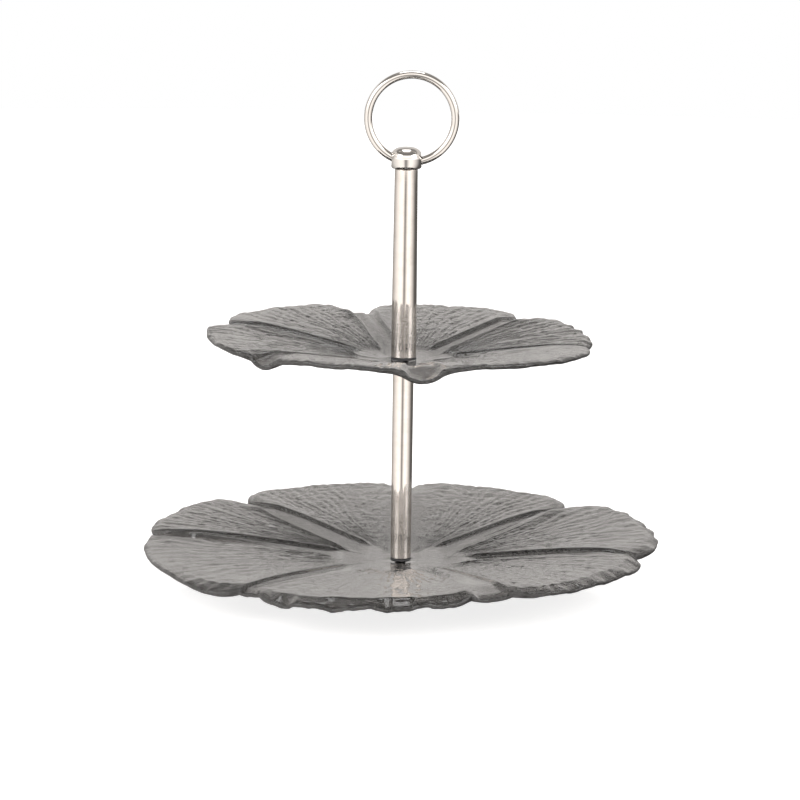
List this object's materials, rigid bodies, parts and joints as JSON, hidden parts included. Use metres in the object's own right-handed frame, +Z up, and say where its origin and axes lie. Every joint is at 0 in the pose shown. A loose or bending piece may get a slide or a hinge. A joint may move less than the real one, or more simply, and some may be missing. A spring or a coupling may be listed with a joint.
{
  "type": "tiered cake stand",
  "caption": "Tiered stand with flower-shaped pressed-glass plates on a metal post, and a swinging ring handle through a knob on top.",
  "frame": {"origin": "on the post's axis, in the plane that the lower plate's foot ring stands on", "axes": "+Z up along the post; the knob's cross hole, which the ring swings about, runs along X, so the ring stands in the XZ plane and -Y is the front"},
  "size_m": [0.2809, 0.2781, 0.2815],
  "materials": {
    "smoke_glass": "pressed smoke-grey glass, veined petals, glossy",
    "post_nickel": "warm polished nickel",
    "handle_nickel": "bright polished nickel",
    "insert_steel": "turned steel",
    "zinc_plate": "zinc-plated steel",
    "seal_rubber": "matt black rubber"
  },
  "bodies": {
    "stand": {"lower_plate": "smoke_glass", "upper_plate": "smoke_glass", "lower_tube": "post_nickel", "upper_tube": "post_nickel", "knob": "handle_nickel", "lower_tube_bottom_insert": "insert_steel", "lower_tube_top_insert": "insert_steel", "upper_tube_bottom_insert": "insert_steel", "upper_tube_top_insert": "insert_steel", "middle_stud": "insert_steel", "base_washer": "zinc_plate", "base_screw": "zinc_plate", "lower_plate_gasket": "seal_rubber", "upper_plate_gasket": "seal_rubber", "lower_plate_grommet": "seal_rubber", "upper_plate_grommet": "seal_rubber"},
    "ring": {"ring_handle": "handle_nickel"}
  },
  "joints": [
    {"name": "ring_swing", "type": "hinge", "parent": "stand", "child": "ring", "pos_m": [0, 0, 0.2335], "axis": [1, 0, 0], "range_deg": [-165, 165]}
  ]
}
